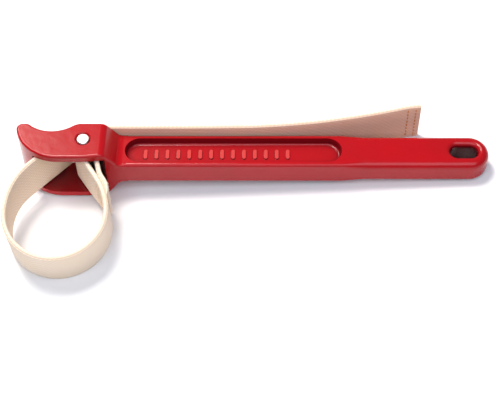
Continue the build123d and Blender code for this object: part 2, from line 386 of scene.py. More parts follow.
@dataclass(frozen=True)
class WovenWebbing(Finish):
    """Heavy undyed webbing: thick warp yarns run along it and the picks show between them.

    The yarns are matt and slightly hairy, so the surface is soft, with a pale bloom at a
    glancing angle, and the gaps between the yarns are darker with painted shade. The face
    toward the handle gets a painted red reflection of it.
    """

    name: str = "undyed_webbing"
    yarn: str = "#f3e2cf"
    # painted shade in the gaps between the yarns
    gap_shade: str = "#c9ad8e"
    tint: str = "#e8cfae"
    paint: str = "#e29c78"  # painted red reflection of the handle
    red_bounce_share: float = 0.5
    warp: float = 1.5 * MM  # the real yarns are 1 mm apart, too fine to show
    pick: float = 2.6 * MM  # over one pick and under the next
    lift: float = 0.4  # how much higher a yarn stands over a pick than under it
    fibre: float = 0.35 * MM
    stain: float = 14 * MM  # patches that have yellowed

    def dress(self, tree: bpy.types.NodeTree, shader: bpy.types.Node) -> None:
        """Adds the weave from the strap's own map, which is in metres. See Finish.dress."""
        laid = add_node(tree, "ShaderNodeUVMap", uv_map=WEAVE).outputs[0]
        along, across, _ = add_node(tree, "ShaderNodeSeparateXYZ", links={0: laid}).outputs
        # one on the face that gets the painted red reflection of the handle
        red_bounce = add_node(tree, "ShaderNodeAttribute", attribute_name=RED_BOUNCE).outputs["Fac"]
        found = {"along": along, "across": across, "red_bounce": red_bounce}
        # a yarn goes over one pick and under the next, and the yarn beside it the other way round
        steps = {
            "yarns": ("DIVIDE", "across", self.warp),
            "share": ("FRACT", "yarns"),
            "arch": ("MULTIPLY", "share", math.pi),
            "crown": ("SINE", "arch"),
            "yarn": ("FLOOR", "yarns"),
            "shift": ("MULTIPLY", "yarn", math.pi),
            "phase": ("MULTIPLY_ADD", "along", 2 * math.pi / self.pick, "shift"),
            "wave": ("SINE", "phase"),
            "over": ("MULTIPLY_ADD", "wave", 0.5, 0.5),
            "stand": ("MULTIPLY_ADD", "over", self.lift, 1 - self.lift),
            "height": ("MULTIPLY", "crown", "stand"),
            # painted red reflection of the handle, on the face toward it
            "paint": ("MULTIPLY", "red_bounce", self.red_bounce_share),
        }
        for name, (operation, *terms) in steps.items():
            fixed = {i: term for i, term in enumerate(terms) if isinstance(term, float)}
            joined = {i: found[term] for i, term in enumerate(terms) if isinstance(term, str)}
            found[name] = add_node(
                tree, "ShaderNodeMath", fixed, joined, operation=operation
            ).outputs[0]
        height = found["height"]
        place = add_node(tree, "ShaderNodeTexCoord").outputs["Object"]
        fibre = add_node(
            tree, "ShaderNodeTexNoise", {"Scale": 1 / self.fibre, "Detail": 2.0}, {"Vector": place}
        )
        stain = add_node(
            tree, "ShaderNodeTexNoise", {"Scale": 1 / self.stain, "Detail": 4.0}, {"Vector": place}
        )
        # the low parts of the weave get painted shade
        shade = add_node(
            tree,
            "ShaderNodeMapRange",
            {"From Min": 0.05, "From Max": 0.7, "To Min": 0.0, "To Max": 1.0},
            {"Value": height},
        )
        woven = add_node(
            tree,
            "ShaderNodeMix",
            {"A": linear(self.gap_shade), "B": linear(self.yarn)},
            {"Factor": shade.outputs[0]},
            data_type="RGBA",
        )
        patch = add_node(
            tree,
            "ShaderNodeMapRange",
            {"From Min": 0.45, "From Max": 0.75, "To Min": 0.0, "To Max": 0.55},
            {"Value": stain.outputs["Fac"]},
        )
        colour = add_node(
            tree,
            "ShaderNodeMix",
            {"B": linear(self.tint)},
            {"Factor": patch.outputs[0], "A": woven.outputs["Result"]},
            data_type="RGBA",
        )
        # painted red reflection of the handle
        colour = add_node(
            tree,
            "ShaderNodeMix",
            {"B": linear(self.paint)},
            {"Factor": found["paint"], "A": colour.outputs["Result"]},
            data_type="RGBA",
        )
        weave = add_node(
            tree, "ShaderNodeBump", {"Strength": 0.5, "Distance": 0.25 * MM}, {"Height": height}
        )
        hair = add_node(
            tree,
            "ShaderNodeBump",
            {"Strength": 0.3, "Distance": 0.08 * MM},
            {"Height": fibre.outputs["Fac"], "Normal": weave.outputs[0]},
        )
        tree.links.new(colour.outputs["Result"], shader.inputs["Base Color"])
        tree.links.new(hair.outputs[0], shader.inputs["Normal"])
        shader.inputs["Roughness"].default_value = 0.88
        shader.inputs["Specular IOR Level"].default_value = 0.25
        shader.inputs["Sheen Weight"].default_value = 0.25
        shader.inputs["Sheen Roughness"].default_value = 0.5


@dataclass(frozen=True)
class WaxedThread(Finish):
    """Thick twisted sewing thread, waxed, so it is darker and shinier than the webbing."""

    name: str = "waxed_thread"
    colour: str = "#e59a60"
    # painted shade in the grooves between the plies
    groove_shade: str = "#b97242"
    ply: float = 0.7 * MM

    def dress(self, tree: bpy.types.NodeTree, shader: bpy.types.Node) -> None:
        """Adds the slanting plies. See Finish.dress."""
        place = add_node(tree, "ShaderNodeTexCoord").outputs["Object"]
        plies = add_node(
            tree,
            "ShaderNodeTexWave",
            {"Scale": WAVE_PERIOD / self.ply, "Distortion": 0.6},
            {"Vector": place},
            bands_direction="DIAGONAL",
        )
        # the grooves between the plies get painted shade
        colour = add_node(
            tree,
            "ShaderNodeMix",
            {"A": linear(self.groove_shade), "B": linear(self.colour)},
            {"Factor": plies.outputs["Fac"]},
            data_type="RGBA",
        )
        twist = add_node(
            tree,
            "ShaderNodeBump",
            {"Strength": 0.5, "Distance": 0.1 * MM},
            {"Height": plies.outputs["Fac"]},
        )
        tree.links.new(colour.outputs["Result"], shader.inputs["Base Color"])
        tree.links.new(twist.outputs[0], shader.inputs["Normal"])
        shader.inputs["Roughness"].default_value = 0.55


@dataclass(frozen=True)
class BackgroundPaper(Finish):
    """Matt white paper roll."""

    name: str = "background_paper"
    colour: str = "#f4f4f4"

    def dress(self, tree: bpy.types.NodeTree, shader: bpy.types.Node) -> None:
        """Adds a faint tooth. See Finish.dress."""
        place = add_node(tree, "ShaderNodeTexCoord").outputs["Object"]
        tooth = add_node(tree, "ShaderNodeTexNoise", {"Scale": 400.0}, {"Vector": place})
        grain = add_node(
            tree,
            "ShaderNodeBump",
            {"Strength": 0.05, "Distance": 0.05 * MM},
            {"Height": tooth.outputs["Fac"]},
        )
        tree.links.new(grain.outputs[0], shader.inputs["Normal"])
        shader.inputs["Base Color"].default_value = linear(self.colour)
        shader.inputs["Roughness"].default_value = 0.9
        shader.inputs["Specular IOR Level"].default_value = 0.1


# ---- the strap's route ----------------------------------------------------------------------
@dataclass(frozen=True)
class Run:
    """A stretch of the strap's middle line: straight, or turning left by some degrees."""

    length: float
    turn: float = 0.0


def arc(radius: float, turn: float) -> Run:
    """Run along an arc of that radius, turning left by some degrees, or right if negative."""
    return Run(radius * math.radians(abs(turn)), turn)


@dataclass
class Route:
    """Runs in a row, level with the handle.

    The strap's own length is measured from its sewn end. woven_from is that length where the
    route starts, and sense is -1 where the route runs back along the strap.
    """

    start: tuple[float, float]
    heading: float
    runs: list[Run]
    woven_from: float = 0.0
    sense: int = 1

    @property
    def length(self) -> float:
        """Length of all the runs."""
        return sum(run.length for run in self.runs)

    def woven(self, distances: np.ndarray) -> np.ndarray:
        """The strap's own length at distances along the route."""
        return self.woven_from + self.sense * distances

    def follow(self, distances: np.ndarray) -> tuple[np.ndarray, np.ndarray]:
        """Finds places along the route.

        Args:
            distances: how far along, from 0 to the route's length.

        Returns:
            The level points, and the normals to the left of the strap.
        """
        points = np.zeros((len(distances), 2))
        headings = np.zeros(len(distances))
        at, heading, gone = np.array(self.start, float), math.radians(self.heading), 0.0
        for run in self.runs:
            curve = math.radians(run.turn) / run.length

            def step(far: Any) -> tuple[Any, Any]:
                """Level offset after going far along this run."""
                if curve == 0:
                    return far * math.cos(heading), far * math.sin(heading)
                turned = heading + curve * far
                return (
                    (np.sin(turned) - math.sin(heading)) / curve,
                    (math.cos(heading) - np.cos(turned)) / curve,
                )

            here = (distances >= gone - 1e-9) & (distances <= gone + run.length + 1e-9)
            far = distances[here] - gone
            points[here] = at + np.stack(step(far), axis=1)
            headings[here] = heading + curve * far
            at = at + np.array(step(run.length))
            heading += curve * run.length
            gone += run.length
        return points, np.stack([-np.sin(headings), np.cos(headings)], axis=1)


@dataclass(frozen=True)
class Lean:
    """How the strap lies on the bench: the loop hangs from the head and the tail is lifted.

    Outside the head the loop turns about an axis along the handle, more and more from the mouth
    of the head to the middle of the loop, and then by the same angle, so its near side drops and
    its upper edge tips outwards. The tail climbs beyond the head, more and more to its tip,
    because its lower edge lies on the bench.
    """

    angle: float = 10.0  # degrees
    mouth: float = 32 * MM  # where the head lets the loop go
    middle: float = 0.0  # middle of the loop
    tail_from: float = 60 * MM  # along the handle
    tail_to: float = 230 * MM
    tail_rise: float = 5.2 * MM  # at tail_to

    def place(self, points: np.ndarray) -> np.ndarray:
        """Moves points of the strap to where they hang.

        Args:
            points: points in the row frame, one a row.

        Returns:
            The points where they hang.
        """
        full, span = math.radians(self.angle), self.mouth - self.middle
        points = self.rise(points)
        y, z = points[:, 1], points[:, 2]
        share = np.clip((self.mouth - y) / span, 0, 1)
        turn = full * (3 * share**2 - 2 * share**3)
        drop = span * full * (share**3 - share**4 / 2)
        below = np.minimum(y - self.middle, 0)
        moved = points.copy()
        moved[:, 1] = np.maximum(y, self.middle) + below * math.cos(full) - z * np.sin(turn)
        moved[:, 2] = z * np.cos(turn) - drop + below * math.sin(full)
        return moved

    def rise(self, points: np.ndarray) -> np.ndarray:
        """Lifts the points that are on the tail, and leaves the others where they are."""
        far = np.clip((points[:, 0] - self.tail_from) / (self.tail_to - self.tail_from), 0, None)
        moved = points.copy()
        moved[:, 2] += self.tail_rise * far**2
        return moved

    @property
    def cut(self) -> tuple[tuple[float, float, float], tuple[float, float, float]]:
        """A point of the leaning plane across the middle of the loop, and its normal."""
        full = math.radians(self.angle)
        drop = (self.mouth - self.middle) * full / 2
        return (0.0, self.middle, -drop), (0.0, math.cos(full), math.sin(full))


@dataclass
class StrapSizes:
    """Sizes of the webbing and of the way it runs, as the CAD has them, apart from the lift.

    Angles are in degrees.
    """

    pin: tuple[float, float]
    width: float = 30 * MM
    thickness: float = 3.1 * MM
    loop_radius: float = 30.0 * MM
    shank_clearance: float = 0.7 * MM
    eye_radius: float = 4.08 * MM
    wrap_radius: float = 13.2 * MM
    leg_slope: float = 48.0
    seam_margin: float = 4.5 * MM
    seam_bend: float = 14 * MM
    overlap_turn: float = 16.0
    exit_reach: float = 17 * MM
    tail_straight: float = 95 * MM
    lift_radius: float = 500 * MM
    lift_turn: float = 12.4  # less than the CAD's 15.5, because the tail also climbs the bench
    tip_radius: float = 60 * MM
    tip_turn: float = 12.5
    seam_rows: tuple[float, float] = (28.4 * MM, 32.2 * MM)
    tip_rows: tuple[float, float] = (3.2 * MM, 8.4 * MM)

    @property
    def middle(self) -> float:
        """Half the strap's thickness."""
        return self.thickness / 2

    @property
    def loop_length(self) -> float:
        """Length of the half ring."""
        return math.pi * (self.loop_radius + self.middle)

    @property
    def shank_normal(self) -> float:
        """Direction square to the sewn shank, away from the filter, in radians."""
        clear = self.loop_radius + self.shank_clearance + self.eye_radius + self.thickness
        return math.atan2(self.pin[1], self.pin[0]) - math.acos(clear / math.hypot(*self.pin))

    @property
    def shank_flank(self) -> float:
        """Inside radius of the loop's flank below the shank."""
        return self.loop_radius + self.shank_clearance / (1 - math.cos(self.shank_normal))

    @property
    def shank_straight(self) -> float:
        """From beside the pin to where the flank begins, along the shank."""
        turn = self.shank_normal
        centre = self.loop_radius - self.shank_flank
        return math.sin(turn) * (centre - self.pin[0]) + math.cos(turn) * self.pin[1]

    def sewn(self) -> Route:
        """Up the right flank, round the pin's eye and back down as the folded layer."""
        turn = math.degrees(self.shank_normal)
        eye = self.eye_radius + self.middle
        outer = self.eye_radius + self.thickness
        folded = 1.5 * self.thickness - outer
        seam = self.shank_straight - self.seam_margin
        reach = math.hypot(seam, folded)
        closing = math.degrees(math.asin(eye / reach) - math.atan2(folded, seam))
        bend = self.seam_bend + self.middle
        eased = bend * math.tan(math.radians(closing / 2))
        flank = self.shank_flank + self.middle
        return Route(
            (self.loop_radius + self.middle, 0.0),
            90.0,
            [
                arc(flank, turn),
                Run(self.shank_straight),
                arc(eye, -180 - closing),
                Run(math.sqrt(reach**2 - eye**2) - eased),
                arc(bend, closing),
                Run(self.seam_margin - eased),
                arc(flank + self.thickness, -self.overlap_turn),
            ],
        )

    def loop(self) -> Route:
        """The half ring, from the leg's side round to the sewn side."""
        reach = self.loop_radius + self.middle
        return Route((-reach, 0.0), -90.0, [arc(reach, 180.0)], -self.loop_length)

    def leg(self) -> Route:
        """Up the left flank, straight into the head and round over the back of the pin."""
        slope = math.radians(self.leg_slope)
        normal = (-math.sin(slope), math.cos(slope))
        offset = normal[0] * self.pin[0] + normal[1] * self.pin[1] + self.wrap_radius
        flank = (offset + normal[0] * self.loop_radius) / (1 + normal[0])
        centre = flank - self.loop_radius
        straight = math.cos(slope) * (self.pin[0] - centre) + math.sin(slope) * self.pin[1]
        return Route(
            (-self.loop_radius - self.middle, 0.0),
            90.0,
            [
                arc(flank + self.middle, self.leg_slope - 90),
                Run(straight),
                arc(self.wrap_radius + self.middle, -self.leg_slope),
            ],
            -self.loop_length,
            -1,
        )

    def exit(self) -> Route:
        """The stretch that bends where the tail leaves the head."""
        before = self.leg()
        top = (self.pin[0], self.pin[1] + self.wrap_radius + self.middle)
        return Route(top, 0.0, [Run(self.exit_reach)], before.woven_from - before.length, -1)

    def tail(self) -> Route:
        """Along the handle, then away from it, and a little back at the tip."""
        before = self.exit()
        start = (before.start[0] + self.exit_reach, before.start[1])
        runs = [
            Run(self.tail_straight - self.exit_reach),
            arc(self.lift_radius, self.lift_turn),
            arc(self.tip_radius, -self.tip_turn),
        ]
        return Route(start, 0.0, runs, before.woven_from - before.length, -1)


# ---- geometry nodes -------------------------------------------------------------------------
@dataclass
class Repeater:
    """A Geometry Nodes tree that sets one small shape, a little uneven, at every marked point.

    Points carry their directions in the vector attributes out and run.
    """

    name: str
    keep_base: bool
    sizes: dict[str, float]
    seed: int = 7
    tree: bpy.types.NodeTree = field(init=False)

    def __post_init__(self) -> None:
        """Builds the tree with its named inputs."""
        self.tree = bpy.data.node_groups.new(self.name, "GeometryNodeTree")
        face = self.tree.interface
        face.new_socket("Geometry", in_out="INPUT", socket_type="NodeSocketGeometry")
        for size, value in self.sizes.items():
            socket = face.new_socket(size, in_out="INPUT", socket_type="NodeSocketFloat")
            socket.default_value = value
        face.new_socket("Material", in_out="INPUT", socket_type="NodeSocketMaterial")
        face.new_socket("Geometry", in_out="OUTPUT", socket_type="NodeSocketGeometry")
        inside = add_node(self.tree, "NodeGroupInput")
        shape = self.shape(inside)
        marked = add_node(
            self.tree, "GeometryNodeInputNamedAttribute", {"Name": "marked"}, data_type="BOOLEAN"
        )
        out, run = (
            add_node(
                self.tree,
                "GeometryNodeInputNamedAttribute",
                {"Name": name},
                data_type="FLOAT_VECTOR",
            )
            for name in ("out", "run")
        )
        aim = add_node(
            self.tree,
            "FunctionNodeAxesToRotation",
            links={0: out.outputs[0], 1: run.outputs[0]},
            primary_axis="Z",
            secondary_axis="X",
        )
        uneven = add_node(
            self.tree,
            "FunctionNodeRandomValue",
            {"Min": (0.9, 0.85, 0.8), "Max": (1.08, 1.12, 1.15), "Seed": self.seed},
            data_type="FLOAT_VECTOR",
        )
        copies = add_node(
            self.tree,
            "GeometryNodeInstanceOnPoints",
            links={
                "Points": inside.outputs["Geometry"],
                "Selection": marked.outputs[0],
                "Instance": shape,
                "Rotation": aim.outputs[0],
                "Scale": uneven.outputs[0],
            },
        )
        real = add_node(
            self.tree, "GeometryNodeRealizeInstances", links={0: copies.outputs[0]}
        )
        painted = add_node(
            self.tree,
            "GeometryNodeSetMaterial",
            links={"Geometry": real.outputs[0], "Material": inside.outputs["Material"]},
        )
        result = painted.outputs[0]
        if self.keep_base:
            both = add_node(self.tree, "GeometryNodeJoinGeometry")
            self.tree.links.new(result, both.inputs[0])
            self.tree.links.new(inside.outputs["Geometry"], both.inputs[0])
            result = both.outputs[0]
        add_node(self.tree, "NodeGroupOutput", links={0: result})

    def shape(self, inside: bpy.types.Node) -> bpy.types.NodeSocket:
        """Makes the small shape, with z outwards and x along the run.

        Args:
            inside: the tree's input node.

        Returns:
            The socket that carries the shape.
        """
        raise NotImplementedError

    def apply(self, piece: bpy.types.Object, material: bpy.types.Material) -> None:
        """Runs the tree on a piece and turns the result into the piece's plain mesh.

        Args:
            piece: the mesh with its marked points.
            material: what the small shapes are made of.
        """
        modifier = piece.modifiers.new(self.name, "NODES")
        modifier.node_group = self.tree
        for item in self.tree.interface.items_tree:
            if item.in_out == "INPUT" and item.name in self.sizes:
                modifier[item.identifier] = self.sizes[item.name]
            elif item.in_out == "INPUT" and item.name == "Material":
                modifier[item.identifier] = material
        scene = bpy.context.evaluated_depsgraph_get()
        mesh = bpy.data.meshes.new_from_object(
            piece.evaluated_get(scene), preserve_all_data_layers=True, depsgraph=scene
        )
        piece.modifiers.clear()
        piece.data = mesh
        for name in ("marked", "out", "run"):
            if name in mesh.attributes:
                mesh.attributes.remove(mesh.attributes[name])


class SelvedgeTurns(Repeater):
    """The weft yarn's turns along both edges of the webbing."""

    def shape(self, inside: bpy.types.Node) -> bpy.types.NodeSocket:
        """Makes a flattened bead, as one turn of yarn. See Repeater.shape."""
        bead = add_node(
            self.tree, "GeometryNodeMeshUVSphere", {"Segments": 8, "Rings": 5, "Radius": 0.5}
        )
        sides = {i: inside.outputs[name] for i, name in enumerate(("Length", "Width", "Depth"))}
        size = add_node(self.tree, "ShaderNodeCombineXYZ", links=sides)
        sized = add_node(
            self.tree,
            "GeometryNodeTransform",
            links={"Geometry": bead.outputs["Mesh"], "Scale": size.outputs[0]},
        )
        return add_node(
            self.tree, "GeometryNodeSetShadeSmooth", links={0: sized.outputs[0]}
        ).outputs[0]


class ThreadStitches(Repeater):
    """Stitches that rise out of the webbing, lie along it and sink in again."""

    def shape(self, inside: bpy.types.Node) -> bpy.types.NodeSocket:
        """Makes one bowed stitch of round thread. See Repeater.shape."""
        # shares of the stitch's length or of the thread's width
        shares = {
            "back": ("Length", -0.5),
            "front": ("Length", 0.5),
            "sunk": ("Thread", -0.9),
            "risen": ("Thread", 1.1),
            "radius": ("Thread", 0.5),
        }
        found = {
            name: add_node(
                self.tree,
                "ShaderNodeMath",
                {1: share},
                {0: inside.outputs[size]},
                operation="MULTIPLY",
            ).outputs[0]
            for name, (size, share) in shares.items()
        }
        places = {
            "Start": {0: found["back"], 2: found["sunk"]},
            "Middle": {2: found["risen"]},
            "End": {0: found["front"], 2: found["sunk"]},
        }
        bow = add_node(
            self.tree,
            "GeometryNodeCurveQuadraticBezier",
            {"Resolution": 8},
            {
                name: add_node(self.tree, "ShaderNodeCombineXYZ", links=place).outputs[0]
                for name, place in places.items()
            },
        )
        ring = add_node(
            self.tree,
            "GeometryNodeCurvePrimitiveCircle",
            {"Resolution": 7},
            {"Radius": found["radius"]},
        )
        swept = add_node(
            self.tree,
            "GeometryNodeCurveToMesh",
            {"Fill Caps": True},
            {"Curve": bow.outputs[0], "Profile Curve": ring.outputs[0]},
        )
        return add_node(
            self.tree, "GeometryNodeSetShadeSmooth", links={0: swept.outputs[0]}
        ).outputs[0]


# ---- the strap ------------------------------------------------------------------------------
class End(Enum):
    """How a piece of webbing ends."""

    CARRIES_ON = "carries on"  # the next piece starts here
    SEALED = "sealed"  # cut, with the edges of its two plies melted
    SKIVED = "skived"  # pared down to a feather edge that lies against what it is sewn to


class Face(Enum):
    """Which face of the strap, seen along its route."""

    LEFT = 1
    RIGHT = -1


@dataclass
class Webbing:
    """Makes lengths of webbing: a tube woven flat, with soft edges and a beaded selvedge."""

    sizes: StrapSizes
    lean: Lean
    finish: bpy.types.Material
    spacing: float = 1.3 * MM  # one turn of the weft yarn
    edge_round: float = 1.25 * MM
    pressed: float = 0.04 * MM  # each face stays this far inside the CAD's
    uneven: float = 0.14 * MM
    inset: float = 0.6 * MM  # where the melted edges of a sealed end begin
    pared: float = 8.5 * MM  # how much of a skived end is pared
    feather: float = 0.16  # share of the thickness that is left at its edge
    narrowed: float = 0.04  # share of the width that is lost there
    turn_length: float = 1.3 * MM
    turn_width: float = 1.3 * MM
    turn_depth: float = 0.36 * MM

    def section(self) -> np.ndarray:
        """Outline of the strap: across and through, starting in the middle of one edge."""
        wide = self.sizes.width / 2
        thick = self.sizes.middle - self.pressed
        curve = self.edge_round
        corner = [math.radians(a) for a in (0, 18, 38, 60, 90)]
        quarter = [
            (wide - curve + curve * math.cos(a), thick - curve + curve * math.sin(a))
            for a in corner
        ]
        flat = [(x, thick) for x in np.linspace(wide - curve, curve - wide, 16)[1:-1]]
        upper = quarter + flat + [(-x, y) for x, y in reversed(quarter)]
        lower = [(-x, -y) for x, y in upper]
        return np.array([(wide, 0.0)] + upper + [(-wide, 0.0)] + lower)

    def stations(self, route: Route, start: End, end: End) -> np.ndarray:
        """Finds where sections stand, and how they shrink at a cut end.

        A sealed end dips in between its two plies, so its first sections go back over the next.

        Args:
            route: the piece's route.
            start: how it starts.
            end: how it ends.

        Returns:
            Rows of distance, share of the width and share of the thickness.
        """
        # millimetres from the end, share of the width and share of the thickness
        sealed = [(1.5, 0.94, 0.16), (0.0, 0.955, 0.2), (0.0, 0.97, 0.72), (0.14, 0.99, 0.93)]
        lead = self.inset if start is End.SEALED else 0.0
        trail = self.inset if end is End.SEALED else 0.0
        count = max(3, round((route.length - lead - trail) / self.spacing) + 1)
        rows = [(d, 1.0, 1.0) for d in np.linspace(lead, route.length - trail, count)]
        if end is End.SKIVED:
            left = [min(1.0, (route.length - d) / self.pared) for d, _, _ in rows]
            widths = [1.0 - self.narrowed * (1 - far) ** 3 for far in left]
            arcs = [math.sin(far * math.pi / 2) for far in left]
            rows = [
                (d, wide, self.feather + (1 - self.feather) * rise)
                for (d, _, _), wide, rise in zip(rows, widths, arcs)
            ]
        if start is End.SEALED:
            rows = [(d * MM, wide, thick) for d, wide, thick in sealed] + rows
        if end is End.SEALED:
            rows += [(route.length - d * MM, wide, thick) for d, wide, thick in sealed[::-1]]
        return np.array(rows)

    def make(
        self,
        name: str,
        route: Route,
        start: End = End.CARRIES_ON,
        end: End = End.CARRIES_ON,
        red_bounce: Face | None = None,
    ) -> bpy.types.Object:
        """Makes a closed length of webbing along a route, where it hangs.

        Args:
            name: the piece's name.
            route: where its middle line runs.
            start: how it starts.
            end: how it ends.
            red_bounce: the face toward the handle, which gets its painted red reflection, if any.

        Returns:
            The new object, with its selvedge beaded.
        """
        outline = self.section()
        stations = self.stations(route, start, end)
        far = np.clip(stations[:, 0], 0, route.length)
        middles, normals = route.follow(far)
        woven = route.woven(stations[:, 0])
        width = stations[:, 1] + self.waver(woven, 0.0) / self.sizes.width
        shift = self.waver(woven, 2.0) / 2
        across = outline[None, :, 0] * width[:, None] + shift[:, None]
        through = outline[None, :, 1] * stations[:, 2, None]
        if end is End.SKIVED:
            through -= (1 - stations[:, 2, None]) * self.sizes.middle
        points = np.empty((len(stations), len(outline), 3))
        points[:, :, :2] = middles[:, None] + normals[:, None] * through[..., None]
        points[:, :, 2] = across
        rows, columns = points.shape[:2]
        placed = self.lean.place(points.reshape(-1, 3))
        grid = np.arange(rows * columns).reshape(rows, columns)
        beside = np.roll(grid, -1, axis=1)
        quads = np.stack([grid[:-1], beside[:-1], beside[1:], grid[1:]], axis=-1).reshape(-1, 4)
        faces = quads.tolist() + [grid[0, ::-1].tolist(), grid[-1].tolist()]
        mesh = bpy.data.meshes.new(name)
        mesh.from_pydata(placed.tolist(), [], faces)
        piece = bpy.data.objects.new(name, mesh)
        bpy.context.scene.collection.objects.link(piece)
        self.lay_weave(mesh, woven, outline)
        # the face toward the handle gets a painted red reflection of it
        if red_bounce:
            share = np.clip(outline[:, 1] * red_bounce.value / self.sizes.middle, 0, 1) ** 2
            stain = mesh.attributes.new(RED_BOUNCE, "FLOAT", "POINT")
            stain.data.foreach_set("value", np.tile(share, rows).astype(np.float32))
        self.mark_selvedge(mesh, placed.reshape(rows, columns, 3), stations[:, 1])
        self.close(mesh)
        mesh.materials.append(self.finish)
        turns = {"Length": self.turn_length, "Width": self.turn_width, "Depth": self.turn_depth}
        SelvedgeTurns("selvedge_turns", True, turns).apply(piece, self.finish)
        return piece

    def waver(self, woven: np.ndarray, phase: float) -> np.ndarray:
        """Slow unevenness of the webbing, from its own length."""
        waves = ((23.0 * MM, 0.3, 0.45), (9.1 * MM, 1.7, 0.3), (41.0 * MM, 4.1, 0.5))
        return self.uneven * sum(
            share * np.sin(2 * math.pi * woven / length + start + phase)
            for length, start, share in waves
        )

    @staticmethod
    def lay_weave(mesh: bpy.types.Mesh, woven: np.ndarray, outline: np.ndarray) -> None:
        """Maps the weave in metres: along the strap, and round its section."""
        sides = np.linalg.norm(np.roll(outline, -1, axis=0) - outline, axis=1)
        girth = np.concatenate([[0.0], np.cumsum(sides)])
        rows, columns = len(woven), len(outline)
        row, column = np.meshgrid(np.arange(rows - 1), np.arange(columns), indexing="ij")
        row, column = row.ravel(), column.ravel()
        corners = [(row, column), (row, column + 1), (row + 1, column + 1), (row + 1, column)]
        laid = np.stack([np.stack([woven[r], girth[c]], axis=-1) for r, c in corners], axis=1)
        caps = np.array([[woven[0], 0.0]] * columns + [[woven[-1], 0.0]] * columns)
        layer = mesh.uv_layers.new(name=WEAVE)
        everything = np.concatenate([laid.reshape(-1, 2), caps]).astype(np.float32)
        layer.data.foreach_set("uv", everything.ravel())

    @staticmethod
    def mark_selvedge(mesh: bpy.types.Mesh, placed: np.ndarray, widths: np.ndarray) -> None:
        """Marks the middles of both edges, with the ways out and along."""
        rows, columns = placed.shape[:2]
        marked = np.zeros((rows, columns), bool)
        for edge in (0, columns // 2):
            marked[1:-1, edge] = widths[1:-1] == 1.0
        run = np.gradient(placed, axis=0)
        out = placed - placed.mean(axis=1, keepdims=True)
        for name, values in (("out", out), ("run", run)):
            attribute = mesh.attributes.new(name, "FLOAT_VECTOR", "POINT")
            attribute.data.foreach_set("vector", values.reshape(-1).astype(np.float32))
        attribute = mesh.attributes.new("marked", "BOOLEAN", "POINT")
        attribute.data.foreach_set("value", marked.ravel())

    @staticmethod
    def close(mesh: bpy.types.Mesh) -> None:
        """Points the faces outwards and smooths all but the sharp edges."""
        work = bmesh.new()
        work.from_mesh(mesh)
        bmesh.ops.recalc_face_normals(work, faces=work.faces)
        work.to_mesh(mesh)
        work.free()
        mesh.shade_smooth()
        mesh.set_sharp_from_angle(angle=SHARP_ANGLE)


